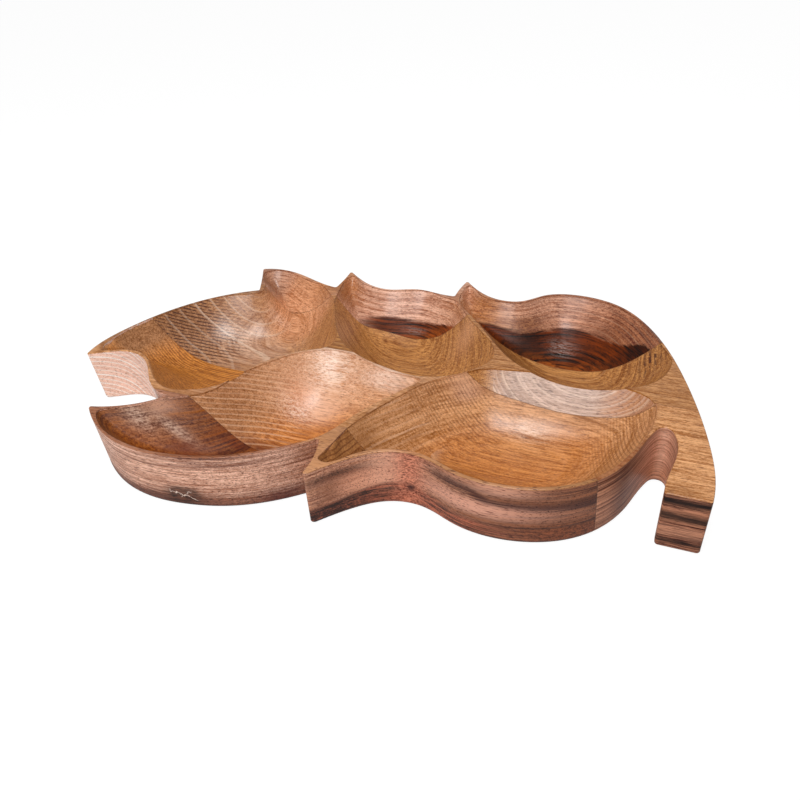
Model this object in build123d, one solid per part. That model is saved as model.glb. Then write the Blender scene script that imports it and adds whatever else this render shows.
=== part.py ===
from build123d import *
import math
import os

import numpy as np

# Wooden snack dish: five leaf bowls and a stem, carved out of one panel.
# The panel is edge-glued from four staves that run along X, so the carved
# dish is four shaped staves with a thin glue film in each of three joints.
# The leaves go by letters: A far left with its lobe, B and C behind, D front
# left and E front right.
# Millimetres, +Z up. The origin is on the underside, in the middle of the
# dish's length and width. The three small leaf tips point to +Y, and the
# stem runs down the +X end.

# Driving dimensions
dish_length = 445.0
dish_width = 286.0
dish_height = 40.0
floor_thickness = 5.0
rim_width = 2.2
rim_land = 1.0
foot_height = 4.0

# Base edge: a slightly smaller copy of the top edge, turned clockwise and
# moved a little, because the hand-shaped walls lean more on some sides
wall_lean = 3.3
base_turn_degrees = 0.65
base_shift_x = 2.3
base_shift_y = -1.7

# Staves, counted from the back: the glue lines are set from the middle
centre_glue_offset = 7.0
rear_middle_stave_width = 79.0
front_middle_stave_width = 87.0
glue_thickness = 0.15

# Edges
corner_round = 1.5
base_round = 3.0
top_round = 0.8
stem_end_setback = 0.5

# Carving: the spacing of the surface points and how closely the surface keeps
# to them, the margin they keep round a bowl, the steepest rise outside its
# rim, and how round each bowl's sides are
carving_step = 5.0
carving_tolerance = 0.1
carving_margin = 8.0
carving_rise = 12.0
rim_sample = 1.0
overrun = 5.0
level_tolerance = 0.001
fullness_shares = {"a": 2.1, "b": 1.8, "c": 1.7, "d": 1.6, "e": 2.0}
crease_softness_share = 6

# Outside edge, as shares of dish_length and dish_width from the middle.
# Each stretch runs from one corner of the outline to the next, anticlockwise.
leaf_c_far_shares = [(0.500, -0.250), (0.497, -0.186), (0.486, -0.101), (0.463, 0.025), (0.436, 0.144),
                     (0.401, 0.270), (0.353, 0.392), (0.303, 0.467), (0.229, 0.499), (0.171, 0.473),
                     (0.135, 0.418), (0.101, 0.410), (0.056, 0.443), (0.020, 0.498)]
leaf_c_side_shares = [(0.020, 0.498), (0.017, 0.437), (0.018, 0.394)]
leaf_b_far_shares = [(0.018, 0.394), (-0.009, 0.396), (-0.056, 0.405), (-0.106, 0.381), (-0.137, 0.387),
                     (-0.173, 0.417), (-0.208, 0.461)]
leaf_b_side_shares = [(-0.208, 0.461), (-0.205, 0.400), (-0.205, 0.348)]
lobe_far_shares = [(-0.205, 0.348), (-0.243, 0.364), (-0.310, 0.405), (-0.350, 0.411), (-0.380, 0.398)]
lobe_side_shares = [(-0.380, 0.398), (-0.358, 0.330), (-0.339, 0.266)]
leaf_a_far_shares = [(-0.339, 0.266), (-0.384, 0.217), (-0.445, 0.105), (-0.487, -0.042), (-0.500, -0.150),
                     (-0.497, -0.197)]
leaf_a_near_shares = [(-0.497, -0.197), (-0.476, -0.178), (-0.445, -0.153), (-0.429, -0.150), (-0.398, -0.164),
                      (-0.360, -0.221), (-0.323, -0.277), (-0.288, -0.290)]
leaf_d_far_shares = [(-0.288, -0.290), (-0.306, -0.325), (-0.335, -0.360), (-0.388, -0.392)]
leaf_d_near_shares = [(-0.388, -0.392), (-0.350, -0.443), (-0.297, -0.485), (-0.235, -0.500), (-0.190, -0.493),
                      (-0.130, -0.466), (-0.067, -0.407), (-0.018, -0.331)]
leaf_e_side_shares = [(-0.018, -0.331), (-0.006, -0.395), (-0.005, -0.464)]
leaf_e_near_shares = [(-0.005, -0.464), (0.042, -0.375), (0.087, -0.327), (0.130, -0.322), (0.180, -0.350),
                      (0.230, -0.364), (0.283, -0.354), (0.333, -0.319), (0.370, -0.263), (0.395, -0.182),
                      (0.413, -0.079), (0.422, -0.060), (0.429, -0.060), (0.438, -0.076), (0.446, -0.175),
                      (0.443, -0.250)]
outside_stretches = [leaf_c_far_shares, leaf_c_side_shares, leaf_b_far_shares, leaf_b_side_shares, lobe_far_shares,
                     lobe_side_shares, leaf_a_far_shares, leaf_a_near_shares, leaf_d_far_shares,
                     leaf_d_near_shares, leaf_e_side_shares, leaf_e_near_shares]

# Edges of the bowls where they border another leaf or the stem, and their tips
leaf_a_tip_shares = [(-0.488, -0.120), (-0.483, -0.155), (-0.473, -0.164), (-0.460, -0.157)]
lobe_tip_shares = [(-0.366, 0.382)]
notch_shares = [(-0.332, 0.259)]
leaf_a_ridge_shares = [(-0.294, -0.269), (-0.262, -0.255), (-0.232, -0.221), (-0.207, -0.122), (-0.180, -0.050),
                       (-0.144, 0.000), (-0.121, 0.028), (-0.117, 0.056), (-0.139, 0.134), (-0.190, 0.282),
                       (-0.214, 0.322)]
leaf_b_ridge_shares = [(-0.196, 0.428), (-0.199, 0.420), (-0.197, 0.360), (-0.186, 0.285), (-0.171, 0.227),
                       (-0.139, 0.137), (-0.099, 0.056), (-0.055, 0.010), (0.000, -0.020), (0.049, -0.032),
                       (0.099, -0.007), (0.135, 0.053), (0.146, 0.091), (0.142, 0.140), (0.103, 0.224),
                       (0.053, 0.318), (0.024, 0.370)]
leaf_c_ridge_shares = [(0.030, 0.470), (0.026, 0.455), (0.026, 0.420), (0.033, 0.368), (0.067, 0.301),
                       (0.108, 0.227), (0.149, 0.150), (0.194, 0.087), (0.245, 0.058), (0.292, 0.052),
                       (0.337, 0.060), (0.372, 0.079), (0.400, 0.126), (0.411, 0.190), (0.408, 0.232)]
leaf_d_ridge_shares = [(-0.033, -0.352), (-0.011, -0.304), (0.003, -0.241), (0.034, -0.136), (0.060, -0.060),
                       (0.063, -0.046), (0.054, -0.040), (0.013, -0.034), (-0.054, 0.006), (-0.090, 0.022),
                       (-0.128, 0.007), (-0.166, -0.035), (-0.189, -0.084), (-0.218, -0.171), (-0.229, -0.234),
                       (-0.256, -0.280), (-0.288, -0.308), (-0.321, -0.353), (-0.353, -0.383), (-0.364, -0.396)]
leaf_e_ridge_shares = [(0.409, -0.015), (0.402, 0.027), (0.381, 0.056), (0.350, 0.070), (0.304, 0.080),
                       (0.260, 0.081), (0.215, 0.072), (0.175, 0.062), (0.138, 0.044), (0.113, 0.010),
                       (0.077, -0.044), (0.054, -0.105), (0.023, -0.211), (0.008, -0.294), (0.003, -0.364),
                       (0.004, -0.401), (0.012, -0.405)]

# Worked out from the sizes above
bowl_depth = dish_height - floor_thickness
rear_glue_y = centre_glue_offset + rear_middle_stave_width
front_glue_y = centre_glue_offset - front_middle_stave_width
base_share = 1 - 2 * wall_lean / dish_length


def at(shares):
    """Places in the plan, in millimetres."""
    return [(x * dish_length, y * dish_width) for x, y in shares]


def inset(points, distance):
    """The inner points of an outside stretch, moved square to it, into the wood."""
    along = np.gradient(np.array(points), axis=0)
    along /= np.linalg.norm(along, axis=1)[:, None]
    inward = np.column_stack([-along[:, 1], along[:, 0]])
    return [tuple(point) for point in (np.array(points) + distance * inward)[1:-1]]


def outline(height):
    """The outside edge, with its corners eased: the base edge up to the foot's height, the top edge above it."""
    share, turn, shift_x, shift_y = 1, 0, 0, 0
    if height <= foot_height:
        share, turn, shift_x, shift_y = base_share, -math.radians(base_turn_degrees), base_shift_x, base_shift_y
    stretches = [[(share * (x * math.cos(turn) - y * math.sin(turn)) + shift_x,
                   share * (x * math.sin(turn) + y * math.cos(turn)) + shift_y, height) for x, y in at(shares)]
                 for shares in outside_stretches]
    stem_outer = (stretches[0][0][0], front_glue_y + stem_end_setback, height)
    stem_inner = (stretches[-1][-1][0], front_glue_y + stem_end_setback, height)
    stretches[0][0] = stem_outer
    stretches[-1][-1] = stem_inner
    stretches.append([stem_inner, stem_outer])
    face = Face(Wire([Edge.make_spline(points) for points in stretches]))
    return face.fillet_2d(corner_round * share, face.vertices())


def level_edges(solid, height):
    """The edges that lie flat at one height."""
    return [edge for edge in solid.edges()
            if all(abs(spot.Z - height) < level_tolerance for spot in [edge @ 0, edge @ 0.5, edge @ 1])]


def panel():
    """The uncarved dish: leaning walls with eased top edges, on a foot with a rounded base edge."""
    foot = Solid.extrude(outline(0), Vector(0, 0, foot_height))
    foot = foot.fillet(base_round, level_edges(foot, 0))
    walls = Solid.make_loft([outline(foot_height).outer_wire(), outline(dish_height).outer_wire()], ruled=True)
    walls = walls.fillet(top_round, level_edges(walls, dish_height))
    return walls + foot


def is_inside(x, y, edge):
    """Which places lie inside a closed edge."""
    within = np.zeros(x.shape, bool)
    for (x0, y0), (x1, y1) in zip(edge, np.roll(edge, -1, axis=0)):
        if y0 != y1:
            crosses = ((y0 > y) != (y1 > y)) & (x < (x1 - x0) * (y - y0) / (y1 - y0) + x0)
            within ^= crosses
    return within


def soft_distance(x, y, edge):
    """Distance to a closed edge, eased where two sides are equally near, so that it has no creases."""
    power = crease_softness_share
    straight = math.sqrt(math.pi) * math.gamma((power - 1) / 2) / math.gamma(power / 2)
    spacing = np.linalg.norm(np.roll(edge, -1, axis=0) - edge, axis=1)
    squared = (x[..., None] - edge[:, 0]) ** 2 + (y[..., None] - edge[:, 1]) ** 2
    nearness = (spacing * np.maximum(squared, (rim_sample / 4) ** 2) ** (-power / 2)).sum(axis=-1)
    return (nearness / straight) ** (-1 / (power - 1))


def carved_out(points, fullness):
    """What the carver takes out of one leaf: its edge from above, and its dished floor."""
    rim = Edge.make_spline([(x, y, 0) for x, y in points], periodic=True)
    count = round(rim.length / rim_sample)
    edge = np.array([tuple(rim @ (i / count))[:2] for i in range(count)])
    low = edge.min(axis=0) - carving_margin
    high = edge.max(axis=0) + carving_margin
    columns, rows = np.ceil((high - low) / carving_step).astype(int) + 1
    x, y = np.meshgrid(np.linspace(low[0], high[0], columns), np.linspace(low[1], high[1], rows))
    distance = soft_distance(x, y, edge)
    within = is_inside(x, y, edge)
    reach = distance[within].max()
    dished = (bowl_depth - rim_land) * (1 - (1 - np.minimum(distance / reach, 1)) ** fullness)
    steepness = (bowl_depth - rim_land) * fullness / reach
    raised = carving_rise * (1 - np.exp(-steepness * distance / carving_rise))
    z = dish_height - rim_land - np.where(within, dished, -raised)
    floor = Face.make_surface_from_array_of_points(
        [[Vector(*place) for place in zip(*row)] for row in zip(x.T, y.T, z.T)], tol=carving_tolerance)
    above = Solid.extrude(floor, Vector(0, 0, dish_height + overrun))
    plug = Solid.extrude(Face(Wire([rim])), Vector(0, 0, dish_height + overrun))
    return above & plug


def between(front, back):
    """A slab across the whole dish, from one glue face to another."""
    corner = Location((-dish_length / 2 - overrun, front, -overrun))
    return Solid.make_box(dish_length + 2 * overrun, back - front, dish_height + 2 * overrun).moved(corner)


bowl_edges = {
    "a": (inset(at(lobe_far_shares), rim_width) + at(lobe_tip_shares)
          + inset(at(lobe_side_shares), rim_width) + at(notch_shares)
          + inset(at(leaf_a_far_shares), rim_width)[:-1] + at(leaf_a_tip_shares)
          + inset(at(leaf_a_near_shares), rim_width)[2:5] + at(leaf_a_ridge_shares)),
    "b": inset(at(leaf_b_far_shares), rim_width) + at(leaf_b_ridge_shares),
    "c": inset(at(leaf_c_far_shares), rim_width)[4:] + at(leaf_c_ridge_shares),
    "d": at(leaf_d_ridge_shares) + inset(at(leaf_d_near_shares), rim_width),
    "e": inset(at(leaf_e_near_shares), rim_width)[:9] + at(leaf_e_ridge_shares),
}
dish = panel().cut(*[carved_out(bowl_edges[leaf], fullness_shares[leaf]) for leaf in bowl_edges])

half_glue = glue_thickness / 2
outermost = dish_width / 2 + overrun
cuts = {
    "front_stave": (-outermost, front_glue_y - half_glue),
    "front_glue_film": (front_glue_y - half_glue, front_glue_y + half_glue),
    "front_middle_stave": (front_glue_y + half_glue, centre_glue_offset - half_glue),
    "centre_glue_film": (centre_glue_offset - half_glue, centre_glue_offset + half_glue),
    "rear_middle_stave": (centre_glue_offset + half_glue, rear_glue_y - half_glue),
    "rear_glue_film": (rear_glue_y - half_glue, rear_glue_y + half_glue),
    "back_stave": (rear_glue_y + half_glue, outermost),
}

# The splines bulge a hair past their corner points, so the whole dish is moved
# until the middle of its length and width stands exactly on the origin.
middle = dish.bounding_box().center()
to_origin = Location((-middle.X, -middle.Y, 0))

os.makedirs("parts", exist_ok=True)
for name, (front, back) in cuts.items():
    export_step((dish & between(front, back)).moved(to_origin), "parts/" + name + ".step")
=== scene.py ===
import math

import bmesh
import bpy
from mathutils import Matrix, Vector


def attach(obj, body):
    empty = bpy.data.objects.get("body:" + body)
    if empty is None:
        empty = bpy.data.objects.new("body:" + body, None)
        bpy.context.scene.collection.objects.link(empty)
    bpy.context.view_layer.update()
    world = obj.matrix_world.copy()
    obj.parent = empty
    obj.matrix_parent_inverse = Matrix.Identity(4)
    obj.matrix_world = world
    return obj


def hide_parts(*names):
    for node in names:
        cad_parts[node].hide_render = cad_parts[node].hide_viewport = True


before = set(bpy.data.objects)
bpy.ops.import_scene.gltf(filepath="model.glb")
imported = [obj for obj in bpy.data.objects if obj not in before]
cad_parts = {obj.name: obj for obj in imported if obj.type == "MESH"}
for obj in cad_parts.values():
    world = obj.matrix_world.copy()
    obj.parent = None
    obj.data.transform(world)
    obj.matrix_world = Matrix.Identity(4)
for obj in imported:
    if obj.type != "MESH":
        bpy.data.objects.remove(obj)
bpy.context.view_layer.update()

# Lengths in the wood patterns are in millimetres, in the dish's own frame: x runs along the glue lines
# towards the stem, y towards the three small leaf tips, and z up from the underside. The leaves go by
# letters: A far left with the small lobe, B middle back, C right back, D front left, E front right.

# The oiled sheen adds some light to every colour, and this takes it off again
sheen_gain = 1.06
sheen_light = 0.022
darkest = 0.001

# How the sanded and oiled surface is finished, in metres where it is a length
edge_radius = 0.0008
pore_depth = 0.0003
satin_gloss = 0.15
oil_roughness = 0.27

# How the staves' meshes are read
corner_gap = 0.000002
sharp_angle = 28
carved_slope = 0.2

# Where the photograph was taken from: metres in the dish's frame, and degrees
camera_place = (0.2106, -0.4559, 0.3422)
camera_turn = 24.204
camera_down = 33.538
camera_roll = -3.283
camera_lens = 37.62


def tone(red, green, blue):
    """A colour given as the 0 to 255 values of a screen, less the light that the wood's sheen adds."""
    linear = [((value / 255 + 0.055) / 1.055) ** 2.4 for value in (red, green, blue)]
    return (*[max(sheen_gain * value - sheen_light, darkest) for value in linear], 1)


class Grain:
    """A socket of a wood's nodes that reads as a number or a colour in sums."""

    def __init__(self, tree, socket=None):
        self.tree = tree
        self.socket = socket

    def node(self, kind, settings, inputs, out=0):
        """Any node: its settings are set first, then the values or links of its sockets."""
        made = self.tree.nodes.new(kind)
        for name, value in settings.items():
            setattr(made, name, value)
        for name, value in inputs.items():
            if isinstance(value, Grain):
                self.tree.links.new(value.socket, made.inputs[name])
            else:
                made.inputs[name].default_value = value
        return Grain(self.tree, made.outputs[out]) if made.outputs else None

    def maths(self, operation, *values):
        return self.node("ShaderNodeMath", {"operation": operation}, dict(enumerate(values)))

    def __add__(self, other):
        return self.maths("ADD", self, other)

    def __sub__(self, other):
        return self.maths("SUBTRACT", self, other)

    def __rsub__(self, other):
        return self.maths("SUBTRACT", other, self)

    def __mul__(self, other):
        return self.maths("MULTIPLY", self, other)

    def __truediv__(self, other):
        return self.maths("DIVIDE", self, other)

    __radd__ = __add__
    __rmul__ = __mul__

    def ease(self, low, high):
        """0 up to low, 1 from high on, and eased between them."""
        return self.node("ShaderNodeMapRange", {"interpolation_type": "SMOOTHSTEP"},
                         {"Value": self, "From Min": low, "From Max": high})

    def near_zero(self, full, none):
        """1 where this is closer to 0 than full, eased to 0 where it is none away."""
        return 1 - self.maths("ABSOLUTE", self).ease(full, none)

    def blend(self, share, first, second, way="MIX"):
        """One colour mixed into another by a share."""
        return self.node("ShaderNodeMix", {"data_type": "RGBA", "blend_type": way},
                         {0: share, 6: first, 7: second}, 2)


class Wood:
    """What every stave's pattern is made of: places, noise, growth rings, fibres, pores and its colour."""

    def __init__(self, name, seed):
        self.material = bpy.data.materials.new(name)
        self.material.use_nodes = True
        self.material.node_tree.nodes.clear()
        self.seed = seed
        self.colour = None
        self.start = Grain(self.material.node_tree)
        metres = self.start.node("ShaderNodeTexCoord", {}, {}, "Object")
        place = self.start.node("ShaderNodeVectorMath", {"operation": "SCALE"}, {0: metres, "Scale": 1000})
        split = {"operation": "DOT_PRODUCT"}
        self.x = self.start.node("ShaderNodeVectorMath", split, {0: place, 1: (1, 0, 0)}, "Value")
        self.y = self.start.node("ShaderNodeVectorMath", split, {0: place, 1: (0, 1, 0)}, "Value")
        self.z = self.start.node("ShaderNodeVectorMath", split, {0: place, 1: (0, 0, 1)}, "Value")
        self.carved = self.start.node("ShaderNodeAttribute", {"attribute_name": "carved"}, {}, "Fac")
        self.outer = 1 - self.carved
        self.fibre = self.noise(60, 1.6, 1.4, shift=1, detail=5, rough=0.68)
        self.drift = self.noise(130, 50, 34, shift=2, detail=2)
        self.speckle = self.noise(1.6, 0.9, 0.9, shift=4, detail=3, rough=0.7)
        self.short = self.noise(12, 1.0, 0.8, shift=10, detail=4, rough=0.7)
        self.pores = self.noise(7, 0.6, 0.5, shift=3, detail=2).ease(0.55, 0.66)
        self.woody = (self.fibre + self.short) * 0.5 + (self.speckle - 0.5) * 0.3

    def noise(self, along, across, upward, shift=0.0, detail=2.0, rough=0.5, depth=None):
        """Noise from 0 to 1, with lumps of these sizes along x, y and z, and along a fourth length."""
        place = self.start.node("ShaderNodeCombineXYZ", {},
                                {0: self.x / along, 1: self.y / across, 2: self.z / upward})
        apart = self.seed + shift * 7.3
        fourth = apart if depth is None else depth + apart
        return self.start.node("ShaderNodeTexNoise", {"noise_dimensions": "4D"},
                               {"Vector": place, "W": fourth, "Scale": 1, "Detail": detail,
                                "Roughness": rough})

    def mound(self, x, y, wide, deep):
        """1 at a place in the plan, falling to 0 round it."""
        over = (self.x - x) / wide
        back = (self.y - y) / deep
        return self.start.maths("POWER", math.exp(-1), over * over + back * back)

    def flat_top(self, start=39.3):
        """1 on the rims and the flat land between the bowls, which are 40 mm up."""
        return self.z.ease(start, 39.8)

    def from_heart(self, x, y, z, along, across):
        """Distance from the heart of the log, with x and y shortened by shares."""
        over = (self.x - x) * along
        back = (self.y - y) * across
        up = self.z - z
        return self.start.maths("SQRT", over * over + back * back + up * up)

    def rings(self, distance, width, wander=3.0, fine=0.9):
        """Growth rings: each ring's own value from 0 to 1, and the fine line at its edge."""
        count = (distance + (self.drift - 0.5) * wander + (self.speckle - 0.5) * 0.5) / width
        whole = self.start.maths("FLOOR", count)
        through = count - whole
        own = self.start.node("ShaderNodeTexWhiteNoise", {"noise_dimensions": "1D"},
                              {"W": whole + self.seed}, "Value")
        line = (1 - (through * width).ease(fine * 0.4, fine)) * (own * 0.7 + 0.3)
        return own, line

    def ripple(self, distance, width):
        """Fine ripples across the grain, 0 to 1."""
        return self.start.maths("SINE", distance * (2 * math.pi / width)) * 0.5 + 0.5

    def between(self, share, dark, light):
        """A shade from one tone to another by a share."""
        return self.start.blend(share, tone(*dark), tone(*light))

    def grained(self, dark, light, low=0.36, high=0.64):
        """A shade between two tones that follows the fibres and flecks."""
        return self.between(self.woody.ease(low, high), dark, light)

    def board(self, dark, light, distance, width, line=0.4, pale=(226, 182, 146), banded=1.0):
        """A board's grain: layers and fine lines along its growth rings, fibres, and pale ring lines."""
        layers = self.noise(160, 90, 90, shift=5, detail=3, rough=0.6, depth=distance / (width * 0.8))
        lines = self.noise(40, 24, 24, shift=9, detail=2, rough=0.6, depth=distance / 0.9)
        edge = self.rings(distance, width)[1]
        share = (layers - 0.5) * banded + (lines - 0.5) * 1.2 + (self.woody - 0.5) * 2.4 + 0.5
        colour = self.between(share.ease(0.05, 0.95), dark, light)
        return self.start.blend(edge * line, colour, tone(*pale))

    def paint(self, share, shade):
        """Mixes a shade, or a tone given as the values of a screen, over the wood's colour by a share."""
        over = shade if isinstance(shade, Grain) else tone(*shade)
        self.colour = self.start.blend(share, self.colour, over)

    def finish(self, shine=0.4, bumps=0.0, coat=0.8, pores=0.6):
        """Sands and oils the wood: its pores stay a little open, and its edges are eased."""
        speckled = self.start.blend(self.pores * pores, self.colour, tone(112, 62, 40), "MULTIPLY")
        height = self.short * 0.9 - self.pores * 0.7 + self.speckle * 0.4 + bumps
        eased = self.start.node("ShaderNodeBevel", {"samples": 4}, {"Radius": edge_radius})
        normal = self.start.node("ShaderNodeBump", {},
                                 {"Strength": 0.5, "Distance": pore_depth, "Height": height,
                                  "Normal": eased})
        surface = self.start.node("ShaderNodeBsdfPrincipled", {},
                                  {"Base Color": speckled, "Roughness": self.speckle * 0.2 + shine,
                                   "Specular IOR Level": satin_gloss, "Coat Weight": coat,
                                   "Coat Roughness": oil_roughness, "Normal": normal})
        self.start.node("ShaderNodeOutputMaterial", {}, {"Surface": surface})
        return self.material


def lobe_stain(wood):
    """A's small lobe in orange tan, with fine lines that run round the hollow across the glue line."""
    height = wood.from_heart(-118, 200, -200, 0.04, 0.7)
    contours = wood.noise(40, 24, 24, shift=9, detail=3, rough=0.65, depth=height / 0.9 - wood.seed)
    follow = (contours * 0.8 + wood.woody * 1.2).ease(0.74, 1.26)
    wood.paint(wood.mound(-116, 90, 34, 40).ease(0.2, 0.7) * 0.9,
               wood.between(follow, (178, 112, 70), (252, 186, 142)))
    wood.paint(wood.mound(-156, 99, 13, 20) * 0.8, wood.grained((104, 62, 32), (172, 116, 76)))
    wood.paint(wood.mound(-84, 97, 9, 10) * 0.55, (118, 64, 28))


def dark_heart(wood):
    """The log's dark heart at the bottoms of B and C, with painted highlights on it. It returns where the
    heart lies.
    """
    blend = wood.start.blend
    streak = wood.noise(46, 8, 1.2, shift=6, detail=5, rough=0.7)
    rising_ends = (wood.mound(163, 86, 22, 26) * 13 + wood.mound(-42, 92, 16, 10) * 3
                   + wood.mound(40, 98, 30, 30) * 4.5 + wood.mound(20, 84, 20, 16) * 6)
    low = 1 - (wood.z + (streak - 0.5) * 6 - rising_ends).ease(18.6, 20.8)
    ovals = wood.noise(60, 60, 40, shift=17, detail=3, rough=0.65, depth=(wood.z + wood.y * 0.12) / 0.9)
    heart = wood.between((ovals * 0.55 + streak * 0.45).ease(0.36, 0.64), (24, 9, 5), (132, 66, 32))
    glow = wood.mound(98, 87, 26, 7) + wood.mound(-4, 87, 26, 5) * 0.5
    heart = blend(glow * streak.ease(0.36, 0.6) * 0.8, heart, tone(208, 116, 56))
    heart = blend(wood.mound(22, 82, 16, 14) * 0.6, heart, tone(146, 76, 52))
    # Painted highlights on the dark heart
    painted_glints = (wood.mound(-18, 92, 9, 3) * 0.5 + wood.mound(98, 106, 9, 7)) * wood.woody.ease(0.42, 0.58)
    heart = blend(painted_glints * 0.4, heart, tone(226, 208, 200))
    darker_ends = wood.mound(70, 100, 18, 20) + wood.mound(156, 92, 14, 12)
    heart = blend(darker_ends * 0.7, heart, tone(34, 12, 6))
    lobe = wood.mound(-132, 100, 46, 90).ease(0.02, 0.2)
    lies = low * (1 - lobe) * wood.carved
    wood.paint(lies, heart)
    return lies


def back_stave_wood():
    """Pinkish brown over a dark heart that shows at the bottoms of the two back bowls."""
    wood = Wood("heart_and_pink_walnut", 11)
    log = wood.from_heart(40, 116, -110, 0.08, 0.32)
    wood.colour = wood.board((166, 106, 78), (248, 196, 168), log, 3.2, line=0.25, pale=(244, 206, 184))
    wood.paint(wood.mound(140, 112, 84, 50) * 0.9,
               wood.board((116, 62, 34), (220, 150, 112), log, 2.6, line=0.3))
    right_end = wood.x.ease(122, 138) * wood.carved
    lighter_rim = wood.z.ease(30, 38) * (1 - wood.x.ease(150, 158))
    wood.paint(right_end * (0.85 - lighter_rim * 0.35),
               wood.board((92, 46, 22), (176, 110, 72), log, 2.6, line=0.3))
    left_end = wood.mound(70, 108, 24, 16) * (1 - wood.z.ease(27, 33)) * wood.carved
    wood.paint(left_end * 0.85, wood.grained((88, 44, 18), (152, 98, 60)))
    over_heart = wood.mound(124, 116, 16, 14) * (1 - wood.z.ease(24, 31)) * wood.carved
    wood.paint(over_heart * 0.65, (100, 56, 32))
    lobe_stain(wood)
    tips = wood.mound(30, 108, 24, 30) + wood.mound(-92, 112, 20, 30)
    wood.paint(tips * 0.75, wood.grained((140, 78, 30), (206, 134, 66)))
    heart = dark_heart(wood)
    wood.paint(wood.outer * 0.35, (150, 96, 74))
    return wood.finish(shine=0.36, coat=0.8 - heart * 0.72 - wood.outer * 0.4)


def rear_middle_stave_wood():
    """Olive tan, with rippled grey-brown grain at its left and pale ring arcs on the far wall of E."""
    wood = Wood("olive_rippled_walnut", 23)
    left_log = wood.from_heart(-115, 40, 75, 0.8, 0.6)
    middle_log = wood.from_heart(20, 200, -160, 0.05, 0.8)
    right_log = wood.from_heart(130, 10, 45, 0.55, 0.3)
    to_middle = wood.x.ease(-100, -70)
    far_wall = wood.x.ease(58, 72) * (1 - wood.y.ease(19, 24)) * (1 - wood.flat_top()) * wood.carved
    grown = left_log * (1 - to_middle) + middle_log * to_middle * (1 - far_wall) + right_log * far_wall
    wood.colour = wood.board((134, 78, 28), (214, 152, 90), grown, 4.6, line=0.1, banded=0.8)
    contours = wood.noise(40, 24, 24, shift=9, detail=2, rough=0.6, depth=middle_log / 1.1)
    wood.paint(wood.mound(-142, 34, 44, 40) * 0.85,
               wood.between((contours + wood.woody).ease(0.7, 1.3), (160, 110, 80), (230, 188, 160)))
    wood.paint(wood.mound(-196, 18, 30, 34) * 0.85, wood.grained((112, 70, 42), (184, 134, 98)))
    lobe_stain(wood)

    ring_line = wood.rings(grown, 5.0)[1]
    fine_ring, fine_line = wood.rings(grown, 1.7)
    follow = fine_ring * 0.45 + wood.woody.ease(0.36, 0.64) * 0.55
    right_part = wood.x.ease(138, 158)
    wood.paint(far_wall * wood.x.ease(60, 86) * (0.92 - right_part * 0.7),
               wood.between(follow, (138, 102, 80), (226, 194, 176)))
    wood.paint(far_wall * right_part * 0.6, (190, 136, 104))
    wood.paint(wood.mound(33, 73, 10, 14) * 0.5, (226, 166, 124))

    # A's left wall: ripples across the grain under pale ring arcs
    ripples = wood.ripple(wood.y * 0.6 + wood.z * 0.8 + (wood.drift - 0.5) * 8, 2.6)
    torn = wood.noise(10, 3, 2, shift=8, detail=2).ease(0.3, 0.5)
    ripples = ripples.ease(0.5, 0.95) * wood.mound(-180, 24, 36, 34).ease(0.05, 0.75) * torn * wood.carved
    wood.paint(ripples * 0.85, (66, 34, 18))
    arcs = wood.mound(-156, 26, 50, 40).ease(0.1, 0.5) * 0.55 + far_wall * 0.8
    wood.paint(ring_line * arcs, (236, 206, 180))
    wood.paint(fine_line * far_wall * 0.25, (242, 214, 194))
    # Painted highlights on A's far wall and on the lobe
    painted_glints = (wood.mound(-158, 38, 13, 8) + wood.mound(-133, 70, 8, 5)) * wood.woody.ease(0.4, 0.6)
    wood.paint(painted_glints * 0.28, (250, 234, 220))

    # The combed row at the right of C, and the flat land
    rows = wood.noise(2.4, 4, 2.4, shift=12, detail=1).ease(0.44, 0.54)
    combed = wood.ripple(wood.x + wood.y * 0.2, 3.3).ease(0.3, 0.8) * rows * wood.mound(168, 77, 9, 11)
    wood.paint(combed * 0.9, (76, 44, 26))
    land = wood.carved * wood.flat_top() * wood.x.ease(20, 40)
    wood.paint(land * 0.8, wood.grained((156, 98, 54), (222, 164, 114), 0.4, 0.62))
    return wood.finish(coat=0.8 - wood.outer * 0.4)


def golden_floors(wood):
    """Golden bottoms of the front bowls, more golden lower down partly as painted shade and bounced light,
    and the near end of A, with brown above it at the dish's left.
    """
    follow = wood.fibre * 0.7 + wood.speckle * 0.3
    # More golden lower down: the wood's golden tone with painted shade and bounced light in the bowls'
    # bottoms
    deep = (1 - wood.z.ease(4, 20)) * wood.carved
    wood.paint(deep * (0.85 - wood.mound(104, -18, 40, 20) * 0.4),
               wood.between(follow.ease(0.38, 0.62), (160, 86, 28), (232, 150, 78)))
    far_side = wood.z.ease(15, 28) * wood.y.ease(-42, -24)
    upper = wood.mound(-186, -6, 40, 34).ease(0.1, 0.5) * far_side * wood.carved
    wood.paint(upper * 0.85, wood.grained((118, 74, 44), (196, 142, 100)))
    near_end = wood.mound(-168, -24, 54, 44).ease(0.05, 0.5) * (1 - far_side)
    near_end = near_end * (1 - wood.z.ease(36, 39.5)) * wood.carved
    fine = wood.ripple(wood.y - wood.z * 0.3 + wood.drift * 12, 2.1) * 0.14
    wood.paint(near_end * 0.95,
               wood.between((follow + fine - 0.07).ease(0.37, 0.63), (150, 87, 28), (224, 147, 70)))


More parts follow.
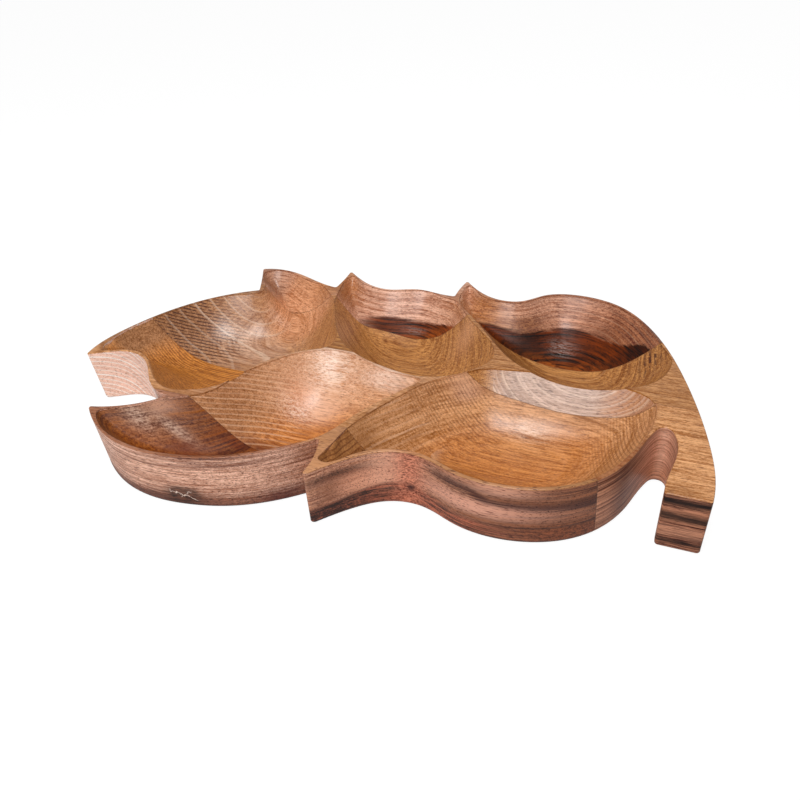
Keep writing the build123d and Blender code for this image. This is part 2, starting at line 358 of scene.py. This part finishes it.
def lit_sides(wood):
    """Paler, pinker wood on D's and E's far sides, partly its own tone and partly painted light, brown at
    D's left, and painted highlights along the grain.
    """
    # Paler and pinker high on D's far side: partly the wood's pink tone, partly painted light
    pale_and_lit_side = wood.mound(-44, -12, 46, 40) * wood.z.ease(6, 24)
    wood.paint(pale_and_lit_side * 0.75, wood.grained((214, 152, 114), (255, 208, 176), 0.34, 0.66))
    wood.paint(wood.mound(-60, -30, 12, 12) * 0.35, (224, 130, 88))
    wood.paint(wood.mound(-100, -60, 30, 40) * 0.65,
               wood.grained((122, 72, 40), (196, 134, 94), 0.34, 0.66))
    # Painted highlights along the grain on D's and E's far sides
    painted_glints = wood.mound(-45, -2, 15, 13) + wood.mound(-57, -36, 13, 8) + wood.mound(102, -8, 15, 7) * 0.7
    wood.paint(painted_glints * wood.woody.ease(0.4, 0.6) * 0.55, (255, 240, 226))
    # Paler again high on the ridge between D and E and on both far sides: the wood's pale tone with painted
    # light
    pale_and_lit_ridge = wood.mound(0, -11, 20, 9) * wood.z.ease(24, 32)
    wood.paint(pale_and_lit_ridge * 0.75, wood.grained((232, 178, 148), (255, 224, 204), 0.34, 0.6))
    wood.paint(wood.mound(-42, -27, 15, 12) * 0.55, (250, 204, 176))
    wood.paint(wood.mound(57, -1, 13, 10) * wood.z.ease(20, 28) * 0.55, (228, 178, 148))
    wood.paint(wood.mound(-62, -78, 22, 7) * wood.carved * 0.8, (118, 62, 28))


def nested_lines(wood, grown, to_right):
    """Nested ring lines at the left of D and E, and short dashes across the grain at E's far left."""
    ring_line = wood.rings(grown, 3.1, 5, 1.1)[1]
    nested = wood.mound(-84, -60, 40, 46).ease(0.15, 0.6) * (1 - wood.x.ease(-62, -30))
    nested = nested + wood.mound(32, -58, 26, 30).ease(0.2, 0.7) * 0.8 * to_right
    wood.paint(ring_line * nested * wood.carved * 0.5, (244, 198, 162))
    dashes = wood.ripple(wood.x * 0.4 + wood.y * 0.92 + wood.short * 1.5, 2.3).ease(0.4, 0.9)
    dashes = dashes * wood.mound(52, -14, 44, 26) * wood.carved
    broken = wood.noise(8, 4, 4, shift=14).ease(0.3, 0.6)
    wood.paint(dashes * broken * 0.5, (108, 64, 38))


def tip_end_grain(wood, left_log):
    """Pale end grain with pale ring lines on the walls of A's tip."""
    end = wood.outer * (1 - wood.x.ease(-150, -120))
    ring, ring_line = wood.rings(left_log, 3.6, 3, 1.3)
    pale = wood.between((wood.woody + ring * 0.1).ease(0.36, 0.66), (222, 172, 150), (255, 214, 194))
    wood.paint(end * 0.95, wood.start.blend(ring_line, pale, tone(255, 250, 244)))


def stem_walls(wood):
    """Brown walls at the stem, pale in the slot partly as painted light, with dark bands on the end. It
    returns walls and end.
    """
    wall = wood.outer * wood.x.ease(120, 130)
    coarse = wood.noise(90, 60, 1.4, shift=6, detail=5, rough=0.72)
    wood.paint(wall * 0.9, wood.between(coarse.ease(0.38, 0.62), (80, 42, 28), (212, 150, 120)))
    wood.paint(wall * wood.mound(173, -58, 8, 16) * 0.5, (66, 36, 24))
    # Paler on the slot's wall, more so higher up: the wood's pinker tone with painted light
    wood.paint(wall * wood.mound(187, -20, 14, 34) * (wood.z.ease(6, 18) * 0.7 + 0.15),
               wood.between(coarse.ease(0.28, 0.72), (176, 114, 88), (250, 200, 172)))
    end = wall * (1 - wood.y.ease(-79.2, -77)) * wood.x.ease(188, 192)
    wood.paint(end * 0.9,
               wood.between((coarse + wood.short - 0.5).ease(0.34, 0.66), (66, 34, 22), (190, 130, 102)))
    wood.paint(end * (wood.z - 14).near_zero(2, 6) * 0.4, (204, 148, 120))
    layer = (wood.noise(16, 12, 1.5, shift=7, detail=4, rough=0.7) - 0.5) * 6 + wood.z
    for height, half, share in ((35.5, 5.0, 0.95), (24.8, 5.8, 0.9), (6.5, 2.8, 0.85)):
        wood.paint(end * (layer - height).near_zero(0, half) * share, (44, 24, 18))
    return wall, end


def front_middle_stave_wood():
    """Golden tan with nested ring lines, paler and pinker at the left end and on the slot's walls."""
    wood = Wood("golden_walnut", 37)
    left_log = wood.from_heart(-226, -50, -24, 1.0, 0.9)
    middle_log = wood.from_heart(-20, -200, -100, 0.12, 0.72)
    right_log = wood.from_heart(220, -45, 90, 0.2, 0.3)
    to_middle = wood.x.ease(-178, -160)
    to_right = (wood.x - wood.y * 0.46).ease(29, 35)
    grown = left_log * (1 - to_middle) + middle_log * to_middle * (1 - to_right) + right_log * to_right
    wood.colour = wood.board((156, 98, 50), (230, 170, 120), grown, 4.2, line=0.0)
    golden_floors(wood)
    lit_sides(wood)
    nested_lines(wood, grown, to_right)
    tip_end_grain(wood, left_log)
    wood.paint(wood.mound(14, -74, 14, 14) * wood.carved * 0.5, (138, 86, 44))
    chatter = wood.ripple(wood.x + wood.y * 0.25, 2.0).ease(0.4, 0.95) * wood.mound(166, -26, 18, 42)
    wood.paint(chatter * 0.55 * wood.carved, (112, 62, 32))
    wall, end = stem_walls(wood)
    land = wood.carved * wood.flat_top() * wood.x.ease(160, 180)
    wood.paint(land * 0.8, wood.grained((158, 94, 46), (250, 188, 134), 0.38, 0.6))
    right_rim = wood.carved * wood.flat_top() * wood.x.ease(120, 150) * (1 - wood.x.ease(178, 184))
    wood.paint(right_rim * 0.6, (130, 66, 24))
    wood.paint(land * wood.mound(205, -77, 14, 8) * 0.5, (138, 86, 48))
    return wood.finish(coat=0.8 - wall * 0.5 - end * 0.25, pores=0.46)


def wall_streaks(wood, streak):
    """Dark streaks along the front walls, closer and darker towards the right and below, and painted shade
    along their bottom edge.
    """
    wood.paint(streak.ease(0.54, 0.64) * 0.7, (104, 56, 42))
    follow = (streak * 0.55 + (1 - wood.woody) * 0.45).ease(0.4, 0.6)
    wood.paint(wood.x.ease(-26, -8) * 0.6, wood.between(follow, (216, 148, 108), (88, 44, 26)))
    thin = wood.noise(70, 50, 0.6, shift=16, detail=2).ease(0.56, 0.64) * wood.outer
    wood.paint(thin * 0.5, (104, 60, 46))
    near_rim = wood.z.ease(30, 35) * wood.mound(-64, -118, 40, 40)
    wood.paint(near_rim * streak.ease(0.4, 0.54) * 0.85, (84, 44, 36))
    broad = wood.noise(120, 80, 7, shift=8, detail=2)
    wood.paint(wood.x.ease(20, 140) * 0.95 * (broad * 0.6 + 0.6),
               wood.between(streak.ease(0.36, 0.64), (152, 94, 66), (56, 24, 14)))
    low = 1 - (wood.z + (streak - 0.5) * 44 - wood.x.ease(-20, 10) * 3).ease(5, 12)
    low = low * (1 - wood.mound(110, -104, 22, 20) * 0.6)
    wood.paint(low * 0.8, wood.grained((44, 18, 10), (150, 86, 60), 0.34, 0.6))
    # Painted shade along the bottom edge of the outer walls, where the base rounds under
    wood.paint((1 - wood.z.ease(0.8, 3)) * wood.outer * 0.5, (60, 32, 24))


def wall_bands(wood, streak):
    """E's front wall: a dark streak under its rim, light bands lower down, and a dark top at its left."""
    wood.paint(wood.mound(112, -103, 20, 12) * wood.z.ease(31, 35) * 0.6, (226, 168, 142))
    sinking = wood.x.ease(90, 108) * 6
    top_streak = (wood.z - 32 + sinking + (streak - 0.5) * 12).near_zero(0.5, 5)
    wood.paint(top_streak * wood.x.ease(52, 76) * 0.75, (64, 30, 22))
    light_band = (wood.z - 21 + (streak - 0.5) * 8).near_zero(1, 8)
    wood.paint(light_band * wood.mound(96, -100, 40, 40) * 0.75, (232, 172, 148))
    top_left = wood.mound(12, -110, 20, 40) * wood.z.ease(22, 30) * (1 - wood.z.ease(32, 36))
    wood.paint(top_left * 0.9,
               wood.between((streak + wood.short).ease(0.8, 1.2), (38, 18, 12), (130, 78, 58)))
    middle_light = wood.mound(24, -106, 22, 30) * wood.z.ease(10, 18) * (1 - wood.z.ease(26, 32))
    wood.paint(middle_light * 0.5, (226, 156, 124))
    wood.paint(wood.mound(37, -94, 12, 14) * wood.z.ease(7, 14) * 0.5, (238, 180, 152))
    wood.paint(wood.mound(8, -118, 8, 10) * (wood.z - 20).near_zero(4, 9) * 0.5, (112, 64, 40))


def low_layers(wood, streak):
    """Thin dark layers low on E's front wall that rise at its waist, and D's dark lower ends."""
    rise = wood.mound(42, -92, 24, 60) * 6 + (wood.drift - 0.5) * 6
    over_rise = wood.z - rise
    layer = wood.noise(60, 60, 1.0, shift=15, detail=3, rough=0.6, depth=over_rise / 1.4)
    layered = (1 - over_rise.ease(8.5, 12)) * wood.x.ease(-14, -6) * (1 - wood.x.ease(84, 130)) * wood.outer
    wood.paint(layered * 0.85, wood.between(layer.ease(0.38, 0.62), (40, 16, 10), (190, 110, 84)))
    shade = layered * (1 - wood.x.ease(16, 44)) * (wood.short + wood.fibre).ease(0.7, 1.1)
    wood.paint(shade * 0.85, (46, 18, 12))
    low_right = wood.mound(-28, -112, 14, 24) * (1 - (wood.z + (streak - 0.5) * 16).ease(6, 15))
    wood.paint(low_right * 0.75, (84, 32, 22))
    low_left = wood.mound(-118, -140, 40, 30) * (1 - (wood.z + (streak - 0.5) * 20).ease(3, 10))
    wood.paint(low_left * streak.ease(0.36, 0.56) * 0.75, (74, 42, 34))


def red_patch(wood):
    """The red patch at the waist of E's front wall, with its dark spot."""
    wood.paint(wood.mound(50, -92, 10, 20) * 0.75,
               wood.between(wood.speckle.ease(0.35, 0.6), (112, 52, 38), (226, 142, 112)))
    spot = wood.mound(51, -92, 3.2, 20) * (wood.z - 14).near_zero(1, 4)
    wood.paint(spot * 0.85, (60, 30, 22))


def near_sides(wood, streak):
    """Brown inside D with painted highlights high at its left, tan inside E's tip, and the rims in front.
    It returns what is inside the bowls.
    """
    top = wood.flat_top(39.2)
    inside = wood.carved * (1 - top)
    follow = (wood.woody * 0.5 + streak * 0.5).ease(0.4, 0.6)
    wood.paint(inside * 0.9, wood.between(follow, (70, 30, 4), (158, 92, 38)))
    deep = inside * (1 - wood.z.ease(22, 38)) * wood.mound(-124, -120, 44, 18)
    wood.paint(deep * 0.7, wood.grained((124, 64, 16), (196, 116, 54)))
    smoky = wood.noise(20, 12, 5, shift=9, detail=3).ease(0.3, 0.6) * wood.mound(-74, -86, 24, 12)
    wood.paint(inside * smoky * 0.85, wood.between(streak.ease(0.4, 0.6), (70, 28, 8), (132, 66, 32)))
    bottom = wood.mound(-106, -104, 22, 10) * (1 - wood.z.ease(14, 22)) * inside
    wood.paint(bottom * 0.7, (116, 58, 12))
    # Painted highlight high on D's back left side
    back_left_highlight = wood.mound(-130, -92, 16, 6) * wood.z.ease(28, 36) * inside
    wood.paint(back_left_highlight * 0.75, (206, 158, 132))
    # Painted highlight streaks along the grain on D's left side
    painted_glints = wood.mound(-140, -104, 12, 5) + wood.mound(-118, -97, 14, 3)
    painted_glints = painted_glints * (wood.woody * 0.6 + streak * 0.4).ease(0.4, 0.6) * inside
    wood.paint(painted_glints * 0.6, (236, 212, 194))

    at_tip = wood.x.ease(-22, -12)
    ring, ring_line = wood.rings(wood.from_heart(40, -60, 90, 0.3, 0.4), 2.4)
    tan = wood.between(ring * 0.5 + wood.woody.ease(0.36, 0.64) * 0.5, (112, 64, 24), (196, 140, 90))
    wood.paint(inside * at_tip * 0.85, wood.start.blend(ring_line * 0.6, tan, tone(92, 50, 22)))
    wood.paint(wood.carved * top * at_tip * 0.7, (196, 140, 92))
    wood.paint(wood.carved * top * (1 - at_tip) * 0.7, (144, 82, 42))
    return inside


def bark_pocket(wood, streak):
    """The bark pocket low on D's wall: a dark smear round a pale crack. It returns the crack's depth."""
    knot = wood.mound(-84, -140, 10, 30) * (1 - wood.z.ease(12, 18)) * wood.z.ease(0, 5) * wood.outer
    smear = wood.mound(-82, -140, 28, 30) * (1 - wood.z.ease(6, 16)) * wood.outer
    wood.paint(smear * streak.ease(0.34, 0.56) * 0.65, (66, 38, 30))
    wood.paint(knot.ease(0, 0.6) * 0.8,
               wood.between(wood.short.ease(0.35, 0.65), (30, 14, 10), (112, 72, 56)))
    ragged = (wood.noise(2.6, 2.6, 2.6, shift=7, detail=3) - 0.5) * 9
    long_branch = (wood.z - 9 + (wood.x + 84) * 0.35 + ragged).near_zero(0.2, 0.7)
    short_branch = (wood.z - 10 - (wood.x + 82) * 0.8 + ragged).near_zero(0.1, 0.6)
    crack = long_branch * wood.mound(-84, -140, 9, 30).ease(0.3, 0.5)
    crack = crack + short_branch * wood.mound(-82, -140, 4, 30).ease(0.3, 0.6) * 0.6
    wood.paint(crack * wood.outer * (1 - wood.z.ease(15, 18)), (236, 212, 196))
    return (0 - knot) * crack * 2


def front_stave_wood():
    """Pinkish brown outside with dark streaks along the grain, and a bark pocket low on the left wall."""
    wood = Wood("streaked_pink_walnut", 53)
    log = wood.from_heart(0, -100, -120, 0.06, 0.3)
    streak = wood.noise(80, 50, 1.3, shift=6, detail=6, rough=0.75)
    wood.colour = wood.board((168, 112, 86), (252, 202, 176), log, 2.4, line=0.2, pale=(252, 220, 202))
    wall_streaks(wood, streak)
    wall_bands(wood, streak)
    low_layers(wood, streak)
    red_patch(wood)
    inside = near_sides(wood, streak)
    crack_depth = bark_pocket(wood, streak)
    return wood.finish(shine=0.42, bumps=crack_depth, coat=0.8 - inside * 0.74 - wood.outer * 0.5,
                       pores=0.8 - inside * 0.4)


def glue_look():
    """Set glue: a dark, nearly matt line."""
    glue = Wood("dark_glue", 71)
    glue.colour = glue.between(glue.fibre, (140, 90, 58), (170, 116, 80))
    return glue.finish(shine=0.5)


def sanded(node, wood):
    """A copy of a CAD stave with its corners joined, so that its carved faces shade smoothly."""
    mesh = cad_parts[node].data.copy()
    form = bmesh.new()
    form.from_mesh(mesh)
    bmesh.ops.remove_doubles(form, verts=form.verts, dist=corner_gap)
    form.to_mesh(mesh)
    form.free()
    if "custom_normal" in mesh.attributes:
        mesh.attributes.remove(mesh.attributes["custom_normal"])
    mesh.shade_smooth()
    mesh.set_sharp_from_angle(angle=math.radians(sharp_angle))
    carved = mesh.attributes.new("carved", "FLOAT", "FACE")
    carved.data.foreach_set("value", [float(face.normal.z > carved_slope) for face in mesh.polygons])
    mesh.materials.clear()
    mesh.materials.append(wood)
    stave = bpy.data.objects.new("sanded_" + node, mesh)
    bpy.context.scene.collection.objects.link(stave)
    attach(stave, "root")
    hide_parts(node)
    return stave


def camera():
    """The photograph's viewpoint: turned 24 degrees from the dish's front, looking down 34."""
    lens = bpy.data.cameras.new("photo_view")
    lens.lens = camera_lens
    lens.sensor_width = 36
    lens.dof.use_dof = False
    view = bpy.data.objects.new("photo_view", lens)
    turn = Matrix.Rotation(math.radians(camera_turn), 4, "Z")
    tilt = Matrix.Rotation(math.radians(90 - camera_down), 4, "X")
    roll = Matrix.Rotation(math.radians(camera_roll), 4, "Z")
    view.matrix_world = Matrix.Translation(camera_place) @ turn @ tilt @ roll
    bpy.context.scene.collection.objects.link(view)
    bpy.context.scene.camera = view


def lamp(name, place, size, power):
    """A square soft light that faces the middle of the dish."""
    light = bpy.data.lights.new(name, "AREA")
    light.size = size
    light.energy = power
    holder = bpy.data.objects.new(name, light)
    holder.location = place
    holder.rotation_euler = (-Vector(place)).to_track_quat("-Z", "Y").to_euler()
    bpy.context.scene.collection.objects.link(holder)


def white_floor():
    """A wide white floor that looks white to the camera and keeps the dish's shadow."""
    form = bmesh.new()
    bmesh.ops.create_grid(form, x_segments=1, y_segments=1, size=6)
    bmesh.ops.translate(form, verts=form.verts, vec=(0, 0, -0.0002))
    mesh = bpy.data.meshes.new("floor")
    form.to_mesh(mesh)
    form.free()
    floor = bpy.data.objects.new("floor", mesh)
    bpy.context.scene.collection.objects.link(floor)
    paint = bpy.data.materials.new("white_floor")
    paint.use_nodes = True
    paint.node_tree.nodes.clear()
    start = Grain(paint.node_tree)
    seen = start.node("ShaderNodeLightPath", {}, {}, "Is Camera Ray")
    matt = start.node("ShaderNodeBsdfDiffuse", {}, {"Color": (0.8, 0.8, 0.8, 1)})
    glow = start.node("ShaderNodeEmission", {}, {"Color": (1, 1, 1, 1), "Strength": 1.13})
    mixed = start.node("ShaderNodeMixShader", {}, {0: seen * 0.82, 1: matt, 2: glow})
    start.node("ShaderNodeOutputMaterial", {}, {"Surface": mixed})
    mesh.materials.append(paint)


def white_room():
    """White surroundings, dimmer as light on the dish than they look, and two soft lights."""
    world = bpy.data.worlds.new("studio")
    world.use_nodes = True
    world.node_tree.nodes.clear()
    sky = Grain(world.node_tree)
    seen = sky.node("ShaderNodeLightPath", {}, {}, "Is Camera Ray")
    white = sky.node("ShaderNodeBackground", {}, {"Color": (1, 1, 1, 1), "Strength": seen * 0.7 + 0.3})
    sky.node("ShaderNodeOutputWorld", {}, {"Surface": white})
    bpy.context.scene.world = world
    lamp("overhead", (0.12, -0.2, 1.25), 0.4, 6)
    lamp("front_window", (-0.1, -1.2, 1.1), 0.8, 12)


staves = {"back_stave": (back_stave_wood(), "heartwood"),
          "rear_middle_stave": (rear_middle_stave_wood(), "olive_wood_tone"),
          "front_middle_stave": (front_middle_stave_wood(), "golden_wood_tone"),
          "front_stave": (front_stave_wood(), "heartwood")}
for node, (wood, slot) in staves.items():
    sanded(node, wood)

glue = glue_look()
for node in ("rear_glue_film", "centre_glue_film", "front_glue_film"):
    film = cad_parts[node]
    film.data.materials.clear()
    film.data.materials.append(glue)

camera()
white_floor()
white_room()
bpy.context.scene.view_settings.view_transform = "Standard"
